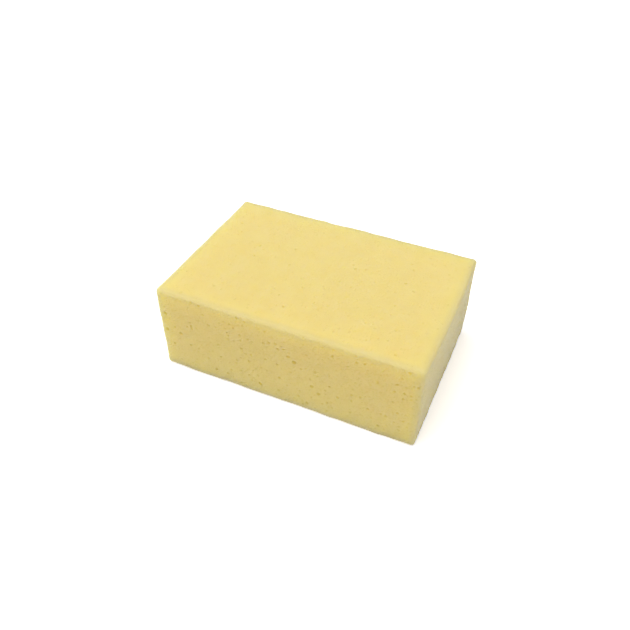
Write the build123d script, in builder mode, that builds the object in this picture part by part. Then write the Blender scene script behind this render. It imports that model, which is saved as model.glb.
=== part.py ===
"""Foam sponge block of the kind painters, decorators and tilers wash and wipe down with.

The real object is one piece: a rectangular block of open-cell polyurethane foam, cut square with a
knife from a larger bun. All six faces are plain cuts, so they are flat and their edges are sharp.
Handling wears the edges to a small radius, and the four upright corners, where a hand grips, to
one that is a little larger.

Frame: millimetres, +Z up. The origin is the middle of the face that the block rests on, +X runs
along the block's longest side and +Z through its thickness.
"""

import os

from build123d import *

# Driving dimensions
LENGTH = 165.0  # longest side, along X
WIDTH = 110.0  # across the block, along Y
THICKNESS = 60.0  # from the resting face to the face under the palm
CORNER_RADIUS = 1.4  # wear on the four upright corners
EDGE_RADIUS = 1.0  # wear on the edges round the resting face and the palm face

# A round on each side of a wall leaves some of the wall flat, and an edge's round stays inside the
# corner's that it runs into, so each is held to this share of what it runs out on.
WALL_SHARE = 0.45
CORNER_SHARE = 0.95


def make_sponge_block():
    """The foam block: an outline with worn corners, extruded, with the rims of both ends worn."""
    corner_radius = min(CORNER_RADIUS, WALL_SHARE * min(LENGTH, WIDTH))
    edge_radius = min(EDGE_RADIUS, CORNER_SHARE * corner_radius, WALL_SHARE * THICKNESS)
    with BuildPart() as sponge_block:
        with BuildSketch(Plane.XY):
            RectangleRounded(LENGTH, WIDTH, corner_radius)
        extrude(amount=THICKNESS)
        flat_faces = sponge_block.faces().sort_by(Axis.Z)
        fillet(flat_faces[0].edges() + flat_faces[-1].edges(), radius=edge_radius)
    sponge_block.part.label = "sponge_block"
    sponge_block.part.color = Color(0.93, 0.83, 0.52)
    return sponge_block.part


def main():
    os.makedirs("parts", exist_ok=True)
    sponge_block = make_sponge_block()
    export_step(sponge_block, "parts/sponge_block.step")
    size = sponge_block.bounding_box().size
    print(f"{sponge_block.label}: {size.X:.1f} x {size.Y:.1f} x {size.Z:.1f} mm")
    print(f"volume {sponge_block.volume / 1000:.1f} cm3, valid {sponge_block.is_valid}")


main()
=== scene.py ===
"""Looks for the foam sponge block: one knife-cut piece of open-cell polyurethane foam.

The foam's skin is worked out as arrays. A grid is wrapped round the block, the knife's unevenness
and the fine cells are pressed into it, and the cut bubbles are blown into it as part spheres.
"""

import math

import bpy
import numpy as np
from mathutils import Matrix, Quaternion, Vector


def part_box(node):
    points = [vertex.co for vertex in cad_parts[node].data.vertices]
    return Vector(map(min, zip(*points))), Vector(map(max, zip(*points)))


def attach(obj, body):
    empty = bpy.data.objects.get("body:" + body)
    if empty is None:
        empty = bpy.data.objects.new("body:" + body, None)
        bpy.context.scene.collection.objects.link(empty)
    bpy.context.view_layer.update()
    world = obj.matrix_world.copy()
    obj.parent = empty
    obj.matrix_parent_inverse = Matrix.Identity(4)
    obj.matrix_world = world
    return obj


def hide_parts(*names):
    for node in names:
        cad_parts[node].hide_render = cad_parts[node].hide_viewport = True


MM = 0.001
SEED = 7

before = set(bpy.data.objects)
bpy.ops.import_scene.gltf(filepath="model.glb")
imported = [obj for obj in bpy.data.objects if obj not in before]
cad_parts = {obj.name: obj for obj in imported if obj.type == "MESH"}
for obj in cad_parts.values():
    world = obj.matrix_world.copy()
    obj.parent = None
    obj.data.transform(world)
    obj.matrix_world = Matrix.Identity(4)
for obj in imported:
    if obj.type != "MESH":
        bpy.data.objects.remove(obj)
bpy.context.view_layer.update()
block_low, block_high = (np.array(corner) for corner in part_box("sponge_block"))
BLOCK = block_high - block_low
MIDDLE = (block_high + block_low) / 2

# Light: the brightness that each gives a white card that faces it
ROOM_LIGHT = 0.20
ROOM_COLOUR = "#FFF4EC"  # the light of the room, a little warm
SOFTBOX_LIGHT = 0.91
SOFTBOX_FROM = (-0.21, -0.19, 1.0)
SOFTBOX_ANGLE = 64  # degrees that the softbox spans, as seen from the block
TABLE_GLOW = 0.06  # what the white table adds, lit from below
TABLE_SEEN = 0.42  # the same as the camera sees it, so that the shadow stays faint
TABLE_WHITE = "#F9F9F9"
TABLE_HALF_SIDE = 2.0  # metres

# Camera: where it stands, in block lengths, how it is turned in degrees, and its lens in mm
CAMERA_AT = (0.7471, -1.7485, 1.8095)
CAMERA_AZIMUTH = 23.77
CAMERA_ELEVATION = 40.92
CAMERA_ROLL = 0.71
CAMERA_LENS = 37.2
CAMERA_SENSOR = 36.0

# The foam's surface
GRID_PITCH = 0.30 * MM  # spacing of the surface grid
MAP_GAP = 1.5 * MM  # between the faces in the flat map
EDGE_RADIUS = 2.4 * MM  # the soft roll of the cut edges
END_BOW = 1.3 * MM  # how far the middle of the +X end's upper edge stands out

# The knife's unevenness: wavelength and usual height, and the most that it may reach, all in mm
LONG_WAVES = (34, 0.11)
SHORT_WAVES = (11, 0.07)
MOST_UNEVEN = 0.5

# The ordinary cells that the knife opened: their pitch, and their depth on the sides and, shaved
# flatter, on the two large faces, all in mm
CELL_PITCH = 1.15
CELL_MARGIN = 0.08  # the least between a cell's middle and its box's wall, as a share of the pitch
CELL_REACH = 0.62  # from a cell's middle to its rim, as a share of the pitch
SIDE_CELLS = 0.37
LARGE_FACE_CELLS = 0.08
EDGE_CELLS = 0.5  # the share of that depth left at a cut edge

# Cut bubbles: smallest and largest radius, the area of skin that has one, and the most that its
# centre lies under the cut of a side, in shares of its radius. Where that is negative, the centre is
# outside the foam, so only the bubble's floor is left.
BUBBLES = [
    (1.1 * MM, 1.5 * MM, 1100 * MM**2, 0.4),
    (0.7 * MM, 1.1 * MM, 46 * MM**2, 0.05),
    (0.36 * MM, 0.64 * MM, 2.3 * MM**2, -0.05),
]
SIDE_LEAST = -0.6  # the least that a centre lies under a side's cut, in shares of the radius
LARGE_FACE_DEPTH = (-0.93, -0.6)  # least and most on the two large faces, which are smoother
LARGE_FACE_TURN = 0.7  # skin whose outward axis is turned up or down by more is a large face's
BUBBLE_TRIES = 2.2  # places tried for each bubble wanted
BUBBLE_WALL = 0.12 * MM  # the least foam left between two bubbles
EDGE_MARGIN = 1.8  # mm from a cut edge, nearer to which no bubble starts
# How much the bubbles are bent out of round: wavelength and usual shift, in mm, and waves summed
SWAY_LENGTH = 2.6
SWAY = 0.07
SWAY_WAVES = 8

# The foam's colours, as sRGB
FOAM_BRIGHT = "#E9D78F"
FOAM_DULL = "#E6D17F"
FOAM_PAINTED_PORE_SHADE = "#E1CD76"  # painted shade and bounce light inside a cut bubble or cell hollow
FOAM_PAINTED_EDGE_SHADE = "#C8B690"  # painted translucency and painted shade along the cut edges: greyer and paler
EDGE_SHADE_SHARE = 0.45
EDGE_SHADE_WIDTH = 6.0  # mm from the edge
# Depths in mm between which the skin's colour turns to the painted shade of a bubble or cell hollow
PORE_SHADE_FROM = 0.05
PORE_SHADE_TO = 0.8
# How far light goes into the foam: a scale, and the multiples of it for red, green and blue
SCATTER_SCALE = 9.0 * MM
SCATTER_REACH = (2.6, 2.4, 1.0)
MOTTLE = 9 * MM  # size of the patches where the dye took a little more or less
# The foam's smallest cells, drawn as a bump: their size, their depth, and the share of it that a
# grain half as large adds
FINE_CELL = 0.55 * MM
FINE_DEPTH = 0.1 * MM
FINE_GRAIN = 0.4

NEARLY_ZERO = 1e-12


def linear(hex_colour):
    """An sRGB hex colour as the linear red, green, blue and alpha that a shader takes."""
    parts = [int(hex_colour[i : i + 2], 16) / 255 for i in (1, 3, 5)]
    return [c / 12.92 if c <= 0.04045 else ((c + 0.055) / 1.055) ** 2.4 for c in parts] + [1.0]


def unit(vectors):
    """Each vector divided by its own length."""
    length = np.linalg.norm(vectors, axis=-1, keepdims=True)
    return vectors / np.maximum(length, NEARLY_ZERO)


# ---------------------------------------------------------------- arrays that make the foam


def wrapped_grid(size, pitch):
    """A grid wrapped round a box: its points as shares of the box from -1 to 1, its quads, and a
    flat map of the six faces with their own scale kept. A point on an edge or a corner is shared by
    the faces that meet there."""
    cells = np.maximum(np.round(size / pitch).astype(int), 1)
    long, wide, high = size
    across = wide + MAP_GAP
    along = long + MAP_GAP
    # Each face: the axis it faces along, its side, the two axes that run over it, with the sense of
    # the first so that first x second points outwards, and its place in the flat map.
    faces = [
        (2, 1, 0, 1, 1, (0, 0)),
        (2, -1, 0, -1, 1, (0, across)),
        (1, -1, 0, 1, 2, (0, 2 * across)),
        (1, 1, 2, 1, 0, (along, 0)),
        (0, 1, 1, 1, 2, (along, along)),
        (0, -1, 1, -1, 2, (along, along + high + MAP_GAP)),
    ]
    sheet = max(2 * across + high, along + MAP_GAP + 2 * high, along + wide)
    keys = []
    quads = []
    flat = []
    start = 0
    for facing, side, first, sense, second, place in faces:
        i, j = np.meshgrid(
            np.arange(cells[first] + 1), np.arange(cells[second] + 1), indexing="ij"
        )
        at = np.zeros(i.shape + (3,), int)
        at[..., facing] = cells[facing] if side > 0 else 0
        at[..., first] = i if sense > 0 else cells[first] - i
        at[..., second] = j
        keys.append((at[..., 0] * (cells[1] + 1) + at[..., 1]) * (cells[2] + 1) + at[..., 2])
        number = start + np.arange(i.size).reshape(i.shape)
        around = (number[:-1, :-1], number[1:, :-1], number[1:, 1:], number[:-1, 1:])
        quads.append(np.stack(around, -1).reshape(-1, 4))
        over = np.stack([i / cells[first] * size[first], j / cells[second] * size[second]], -1)
        flat.append((over + place).reshape(-1, 2) / sheet)
        start += i.size
    keys = np.concatenate([k.ravel() for k in keys])
    quads = np.concatenate(quads)
    flat = np.concatenate(flat)
    kept, shared = np.unique(keys, return_inverse=True)
    layer = (cells[1] + 1) * (cells[2] + 1)
    row = cells[2] + 1
    lattice = np.stack([kept // layer, kept % layer // row, kept % row], 1)
    return lattice / cells * 2 - 1, shared[quads], flat[quads]


def rounded_box(shares, size, radius):
    """A box with rounded edges: each point of the sharp box is taken to the nearest point of a box
    that is smaller by the radius, and comes back out from there by the radius."""
    sharp = shares * size / 2
    core = np.clip(sharp, radius - size / 2, size / 2 - radius)
    outward = unit(sharp - core)
    return core + outward * radius, outward


def ripple(points, wavelength, rng, waves=14):
    """Smooth unevenness of about unit size: the sum of plane cosine waves in random directions,
    with lengths from two thirds to one and a half of the wavelength."""
    total = np.zeros(len(points))
    for _ in range(waves):
        direction = unit(rng.normal(size=3))
        length = wavelength * 1.5 ** rng.uniform(-1, 1)
        total += np.cos(points @ direction * (2 * np.pi / length) + rng.uniform(0, 2 * np.pi))
    return total * math.sqrt(2 / waves)


def cell_distance(points, pitch, rng):
    """How far each point is from the nearest of a set of seeds, as a share of the pitch. There is
    one seed in each cell of a cubic grid of that pitch, at a random place in it."""
    low = points.min(0) - 2 * pitch
    at = (points - low) / pitch
    cell = np.floor(at).astype(int)
    seeds = rng.uniform(CELL_MARGIN, 1 - CELL_MARGIN, size=(*(cell.max(0) + 3), 3))
    seeds = seeds.astype(np.float32)
    nearest = np.full(len(points), np.inf)
    steps = np.array(np.meshgrid([-1, 0, 1], [-1, 0, 1], [-1, 0, 1])).reshape(3, -1).T
    for step in steps:
        there = cell + step
        seed = there + seeds[there[:, 0], there[:, 1], there[:, 2]]
        nearest = np.minimum(nearest, ((at - seed) ** 2).sum(1))
    return np.sqrt(nearest)


def pairs_within(a, b, reach):
    """The pairs of a point of a and a point of b that are nearer than reach. Both sets are put in
    cells as wide as reach, so that a point's neighbours are in its own and the touching cells."""
    low = np.minimum(a.min(0), b.min(0)) - 2 * reach
    cell_a = ((a - low) / reach).astype(np.int64)
    cell_b = ((b - low) / reach).astype(np.int64)
    span = np.maximum(cell_a.max(0), cell_b.max(0)) + 3
    key_b = (cell_b[:, 0] * span[1] + cell_b[:, 1]) * span[2] + cell_b[:, 2]
    order = np.argsort(key_b, kind="stable")
    key_b = key_b[order]
    found = []
    for step_x in (-1, 0, 1):
        for step_y in (-1, 0, 1):
            row = (cell_a[:, 0] + step_x) * span[1] + cell_a[:, 1] + step_y
            key = row * span[2] + cell_a[:, 2]
            first = np.searchsorted(key_b, key - 1, "left")
            count = np.searchsorted(key_b, key + 1, "right") - first
            of_a = np.repeat(np.arange(len(a)), count)
            run = np.arange(len(of_a)) - np.repeat(np.cumsum(count) - count, count)
            of_b = order[np.repeat(first, count) + run]
            near = ((a[of_a] - b[of_b]) ** 2).sum(1) < reach**2
            found.append((of_a[near], of_b[near]))
    return np.concatenate([f[0] for f in found]), np.concatenate([f[1] for f in found])


def first_come(centres, radii):
    """Which of these bubbles stay if they are taken in order and each one is dropped that would
    touch a bubble already kept."""
    i, j = pairs_within(centres, centres, 2 * radii.max() + BUBBLE_WALL)
    apart = np.linalg.norm(centres[i] - centres[j], axis=1)
    close = (i < j) & (apart < radii[i] + radii[j] + BUBBLE_WALL)
    i = i[close]
    j = j[close]
    kept = np.zeros(len(radii), bool)
    dropped = np.zeros(len(radii), bool)
    while not (kept | dropped).all():
        waiting = np.zeros(len(radii), bool)
        waiting[j[~dropped[i]]] = True
        kept |= ~waiting & ~dropped
        dropped[j[kept[i]]] = True
    return kept


def scatter_bubbles(skin, outward, edge, area, rng):
    """Bubbles that the knife cut: centres, outward axes and radii. Each lies under or over a random
    point of the skin clear of the cut edges, by a random share of its radius. Large ones go first."""
    clear = np.flatnonzero(edge > EDGE_MARGIN)
    centres = np.zeros((0, 3))
    axes = np.zeros((0, 3))
    radii = np.zeros(0)
    for smallest, largest, share, deepest in BUBBLES:
        tries = int(BUBBLE_TRIES * area / share)
        at = rng.choice(clear, tries)
        radius = np.sort(rng.uniform(smallest, largest, tries))[::-1]
        depth = rng.uniform(SIDE_LEAST, deepest, tries)
        on_large_face = np.abs(outward[at, 2]) > LARGE_FACE_TURN
        depth[on_large_face] = rng.uniform(*LARGE_FACE_DEPTH, on_large_face.sum())
        depth *= radius
        centre = skin[at] - outward[at] * depth[:, None]
        all_centres = np.concatenate([centres, centre])
        all_radii = np.concatenate([radii, radius])
        kept = first_come(all_centres, all_radii)
        new = kept[len(radii) :]
        new &= np.cumsum(new) <= area / share
        centres = np.concatenate([centres, centre[new]])
        axes = np.concatenate([axes, outward[at][new]])
        radii = np.concatenate([radii, radius[new]])
    return centres, axes, radii


def blow_bubbles(skin, centres, axes, radii):
    """Presses the skin back to the far wall of each bubble that it crosses. A point's share of the
    way from the mouth's middle to its rim is its share of the polar angle from the bubble's bottom
    to the rim, so a deep bubble is wider inside than at its mouth. Returns how far each point moves
    and how deep in a bubble it lies, in units of 1 mm."""
    bubble, point = pairs_within(centres, skin, radii.max())
    offset = skin[point] - centres[bubble]
    distance = np.linalg.norm(offset, axis=1)
    inside = distance < radii[bubble]
    bubble, point, offset, distance = (x[inside] for x in (bubble, point, offset, distance))
    radius = radii[bubble]
    axis = axes[bubble]
    least = np.full(len(radii), np.inf)
    np.minimum.at(least, bubble, distance)
    least = np.minimum(least[bubble], distance)
    share = np.sqrt((distance**2 - least**2) / np.maximum(radius**2 - least**2, NEARLY_ZERO))
    height = (offset * axis).sum(1)
    rim_angle = math.pi - np.arccos(np.clip(height / radius, -1, 1))
    angle = np.clip(share, 0, 1) * rim_angle
    across = unit(offset - height[:, None] * axis)
    wall = across * np.sin(angle)[:, None] - axis * np.cos(angle)[:, None]
    moved = np.zeros_like(skin)
    moved[point] = centres[bubble] + wall * radius[:, None] - skin[point]
    depth = np.zeros(len(skin))
    depth[point] = -(moved[point] * axis).sum(1) / MM
    return moved, depth


def sponge_surface(pitch):
    """The foam block's skin: points, quads, flat map, and per point its depth in a bubble or a cell in
    mm and its distance from the nearest cut edge in mm. The knife's waves and the cells move the skin
    along its outward axis, a cell's hollow being a parabola about its middle, and a bubble presses it
    back to the bubble's wall. The +X end is moved out by a parabola across its width, in full at the
    top and not at all at the bottom."""
    rng = np.random.default_rng(SEED)
    shares, quads, flat = wrapped_grid(BLOCK, pitch)
    skin, outward = rounded_box(shares, BLOCK, EDGE_RADIUS)
    from_faces = np.sort(BLOCK / 2 - np.abs(shares * BLOCK / 2), axis=1)
    edge = from_faces[:, 1] / MM

    knife = np.zeros(len(skin))
    for wavelength, height in (LONG_WAVES, SHORT_WAVES):
        knife += height * ripple(skin, wavelength * MM, rng)
    knife = np.clip(knife, -MOST_UNEVEN, MOST_UNEVEN)
    cells = 1 - np.clip(cell_distance(skin, CELL_PITCH * MM, rng) / CELL_REACH, 0, 1) ** 2
    cells *= SIDE_CELLS + (LARGE_FACE_CELLS - SIDE_CELLS) * outward[:, 2] ** 2
    cells *= np.clip(edge / EDGE_MARGIN, EDGE_CELLS, 1)
    relief = (knife - cells) * MM

    area = 2 * (BLOCK[0] * BLOCK[1] + BLOCK[0] * BLOCK[2] + BLOCK[1] * BLOCK[2])
    sway = [ripple(skin, SWAY_LENGTH * MM, rng, SWAY_WAVES) for _ in range(3)]
    sway = np.stack(sway, 1) * SWAY * MM
    centres, axes, radii = scatter_bubbles(skin, outward, edge, area, rng)
    moved, depth = blow_bubbles(skin + sway, centres, axes, radii)
    points = skin + outward * relief[:, None] + moved + MIDDLE
    bulge = np.clip(shares[:, 0], 0, 1) * (1 - shares[:, 1] ** 2) * (1 + shares[:, 2]) / 2
    points[:, 0] += END_BOW * bulge
    points[:, 2] = np.maximum(points[:, 2], block_low[2])
    return points, quads, flat, depth + cells, edge


# ---------------------------------------------------------------- Blender objects


def mesh_object(name, points, quads, flat=None, **values):
    """A mesh object from arrays, smooth, with a flat map and a float value per point for each name."""
    mesh = bpy.data.meshes.new(name)
    mesh.vertices.add(len(points))
    mesh.vertices.foreach_set("co", points.astype(np.float32).ravel())
    mesh.loops.add(quads.size)
    mesh.loops.foreach_set("vertex_index", quads.astype(np.int32).ravel())
    mesh.polygons.add(len(quads))
    mesh.polygons.foreach_set("loop_start", np.arange(0, quads.size, 4, dtype=np.int32))
    mesh.polygons.foreach_set("use_smooth", np.ones(len(quads), bool))
    if flat is not None:
        mesh.uv_layers.new(name="OFBake").data.foreach_set("uv", flat.astype(np.float32).ravel())
    for key, value in values.items():
        attribute = mesh.attributes.new(key, "FLOAT", "POINT")
        attribute.data.foreach_set("value", value.astype(np.float32))
    mesh.update(calc_edges=True)
    made = bpy.data.objects.new(name, mesh)
    bpy.context.scene.collection.objects.link(made)
    return made


def add(tree, kind, settings, inputs):
    """Adds a node. Settings are its own properties. Inputs are named or numbered as on the node, and
    each is given a value or another node's output."""
    node = tree.nodes.new("ShaderNode" + kind)
    for name, value in settings.items():
        setattr(node, name, value)
    for name, value in inputs.items():
        if isinstance(value, bpy.types.NodeSocket):
            tree.links.new(value, node.inputs[name])
        else:
            node.inputs[name].default_value = value
    return node


def foam_material():
    """Open-cell polyether polyurethane foam, dyed through with yellow and cut with a knife. Light goes
    one or two centimetres into it and comes out again, which blurs the bounds between light and shade.
    Hollows are painted darker and yellower as painted shade; the cut edges are painted greyer and
    paler as painted translucency and shade."""
    material = bpy.data.materials.new("cut_polyurethane_foam")
    material.use_nodes = True
    tree = material.node_tree
    tree.nodes.clear()
    place = add(tree, "TexCoord", {}, {}).outputs["Object"]
    depth = add(tree, "Attribute", {"attribute_name": "depth_mm"}, {}).outputs["Fac"]
    edge = add(tree, "Attribute", {"attribute_name": "edge_mm"}, {}).outputs["Fac"]

    mottle = add(tree, "TexNoise", {}, {"Vector": place, "Scale": 1 / MOTTLE, "Detail": 4.0})
    of_colours = {"data_type": "RGBA"}
    dyes = {0: mottle.outputs["Fac"], 6: linear(FOAM_DULL), 7: linear(FOAM_BRIGHT)}
    body = add(tree, "Mix", of_colours, dyes).outputs[2]
    # painted shade: the skin darkens to a deeper yellow with its depth in a bubble or cell
    painted_pore_shade = add(tree, "MapRange", {}, {0: depth, 1: PORE_SHADE_FROM, 2: PORE_SHADE_TO}).outputs[0]
    with_pore_shade = add(tree, "Mix", of_colours, {0: painted_pore_shade, 6: body, 7: linear(FOAM_PAINTED_PORE_SHADE)}).outputs[2]
    # painted translucency and painted shade: greyer and paler towards the cut edges
    smooth = {"interpolation_type": "SMOOTHSTEP"}
    edge_shade_mask = {0: edge, 1: EDGE_SHADE_WIDTH, 2: 0.0, 3: 0.0, 4: EDGE_SHADE_SHARE}
    rim = add(tree, "MapRange", smooth, edge_shade_mask).outputs[0]
    colour = add(tree, "Mix", of_colours, {0: rim, 6: with_pore_shade, 7: linear(FOAM_PAINTED_EDGE_SHADE)}).outputs[2]

    cells = add(tree, "TexVoronoi", {}, {"Vector": place, "Scale": 1 / FINE_CELL})
    grain = add(tree, "TexNoise", {}, {"Vector": place, "Scale": 2 / FINE_CELL, "Detail": 2.0})
    sum_up = {"operation": "MULTIPLY_ADD"}
    parts = {0: grain.outputs["Fac"], 1: FINE_GRAIN, 2: cells.outputs["Distance"]}
    height = add(tree, "Math", sum_up, parts).outputs[0]
    bump = add(tree, "Bump", {}, {"Strength": 0.3, "Distance": FINE_DEPTH, "Height": height})

    foam = add(
        tree,
        "BsdfPrincipled",
        {},
        {
            "Base Color": colour,
            "Roughness": 0.95,
            "Specular IOR Level": 0.3,
            "Subsurface Weight": 0.93,
            "Subsurface Radius": SCATTER_REACH,
            "Subsurface Scale": SCATTER_SCALE,
            "Sheen Weight": 0.04,
            "Sheen Roughness": 0.5,
            "Normal": bump.outputs["Normal"],
        },
    )
    add(tree, "OutputMaterial", {}, {"Surface": foam.outputs[0]})
    return material


def floor_material():
    """A matt white acrylic table top, lit softly from below."""
    material = bpy.data.materials.new("white_acrylic_table")
    material.use_nodes = True
    tree = material.node_tree
    shader = tree.nodes["Principled BSDF"]
    shader.inputs["Base Color"].default_value = linear(TABLE_WHITE)
    shader.inputs["Roughness"].default_value = 0.9
    shader.inputs["Emission Color"].default_value = (1, 1, 1, 1)
    seen = add(tree, "LightPath", {}, {}).outputs["Is Camera Ray"]
    glow = add(tree, "MapRange", {}, {0: seen, 3: TABLE_GLOW, 4: TABLE_SEEN}).outputs[0]
    tree.links.new(glow, shader.inputs["Emission Strength"])
    return material


def make_sponge():
    """The foam block, which stands for the plain solid of the same size."""
    points, quads, flat, depth, edge = sponge_surface(GRID_PITCH)
    sponge = mesh_object("foam_block", points, quads, flat, depth_mm=depth, edge_mm=edge)
    sponge.data.materials.append(foam_material())
    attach(sponge, "root")
    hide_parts("sponge_block")


def make_floor():
    """The table top: one square, level with the face that the block rests on."""
    corners = np.array([(-1, -1, 0), (1, -1, 0), (1, 1, 0), (-1, 1, 0)]) * TABLE_HALF_SIDE
    floor = mesh_object("floor", corners, np.array([[0, 1, 2, 3]]))
    floor.data.materials.append(floor_material())


def make_camera():
    """The view of the block from above and to the right of its long front."""
    azimuth = math.radians(CAMERA_AZIMUTH)
    elevation = math.radians(CAMERA_ELEVATION)
    level = math.cos(elevation)
    back = Vector((math.sin(azimuth) * level, -math.cos(azimuth) * level, math.sin(elevation)))
    data = bpy.data.cameras.new("camera")
    data.lens = CAMERA_LENS
    data.sensor_width = CAMERA_SENSOR
    data.clip_start = 0.01
    data.clip_end = 20.0
    camera = bpy.data.objects.new("camera", data)
    camera.location = Vector(CAMERA_AT) * BLOCK[0]
    camera.rotation_mode = "QUATERNION"
    roll = Quaternion((0, 0, 1), math.radians(CAMERA_ROLL))
    camera.rotation_quaternion = (-back).to_track_quat("-Z", "Y") @ roll
    bpy.context.scene.collection.objects.link(camera)
    bpy.context.scene.camera = camera


def make_light():
    """A broad softbox overhead, a little to the front left, in an evenly lit room. The camera sees the
    room as pure white, which is more than the room gives the block."""
    world = bpy.data.worlds.new("studio")
    world.use_nodes = True
    tree = world.node_tree
    tree.nodes.clear()
    seen = add(tree, "LightPath", {}, {}).outputs["Is Camera Ray"]
    level = add(tree, "MapRange", {}, {0: seen, 3: ROOM_LIGHT, 4: 1.0}).outputs[0]
    whites = {0: seen, 6: linear(ROOM_COLOUR), 7: (1, 1, 1, 1)}
    white = add(tree, "Mix", {"data_type": "RGBA"}, whites).outputs[2]
    room = add(tree, "Background", {}, {"Color": white, "Strength": level})
    add(tree, "OutputWorld", {}, {"Surface": room.outputs[0]})
    bpy.context.scene.world = world
    data = bpy.data.lights.new("softbox", "SUN")
    data.energy = SOFTBOX_LIGHT * math.pi
    data.angle = math.radians(SOFTBOX_ANGLE)
    softbox = bpy.data.objects.new("softbox", data)
    softbox.rotation_mode = "QUATERNION"
    softbox.rotation_quaternion = Vector(SOFTBOX_FROM).to_track_quat("Z", "Y")
    bpy.context.scene.collection.objects.link(softbox)
    bpy.context.scene.view_settings.view_transform = "Standard"


make_camera()
make_light()
make_floor()
make_sponge()
